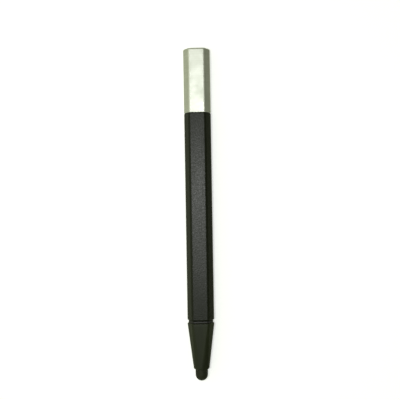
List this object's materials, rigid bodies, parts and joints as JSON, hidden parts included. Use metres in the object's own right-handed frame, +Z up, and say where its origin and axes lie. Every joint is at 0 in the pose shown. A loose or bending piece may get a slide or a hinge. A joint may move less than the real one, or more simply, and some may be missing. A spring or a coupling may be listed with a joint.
{
  "type": "touch screen stylus",
  "caption": "Hexagonal pen-shaped stylus with a dark barrel, a pale metal pull-off cap and a tapered pull-off nose holding a blunt rubber tip.",
  "frame": {"origin": "on the plane of the lower flat, half-way along the pen and half-way across it", "axes": "+Y along the pen from the rubber tip to the cap, +Z up out of the upper flat, +X across the corners"},
  "size_m": [0.0092, 0.1128, 0.0072],
  "materials": {
    "black_plastic": "satin, fine spark-eroded grain",
    "pale_aluminium": "pale anodised, fine satin",
    "nose_plastic": "smooth satin moulding",
    "tip_rubber": "matte conductive rubber",
    "seal_rubber": "matte",
    "brass": "turned",
    "steel": "drawn wire",
    "spigot_plastic": "moulded",
    "liner_plastic": "moulded, natural grey"
  },
  "bodies": {
    "barrel": {"barrel": "black_plastic", "core_tube": "brass", "nose_socket": "brass", "cap_spigot": "spigot_plastic", "reset_pin": "steel", "cap_o_ring": "seal_rubber"},
    "cap": {"cap_shell": "pale_aluminium", "cap_liner": "liner_plastic"},
    "nose": {"nose_cone": "nose_plastic", "nose_seal": "seal_rubber", "nose_o_ring": "seal_rubber", "tip_carrier": "brass", "contact_spring": "steel"},
    "tip": {"tip": "tip_rubber"}
  },
  "joints": [
    {"name": "cap_pull", "type": "slide", "parent": "barrel", "child": "cap", "axis": [0, 1, 0], "range_m": [0, 0.025]},
    {"name": "nose_pull", "type": "slide", "parent": "barrel", "child": "nose", "axis": [0, -1, 0], "range_m": [0, 0.012]},
    {"name": "tip_pull", "type": "slide", "parent": "nose", "child": "tip", "axis": [0, -1, 0], "range_m": [0, 0.01]}
  ]
}
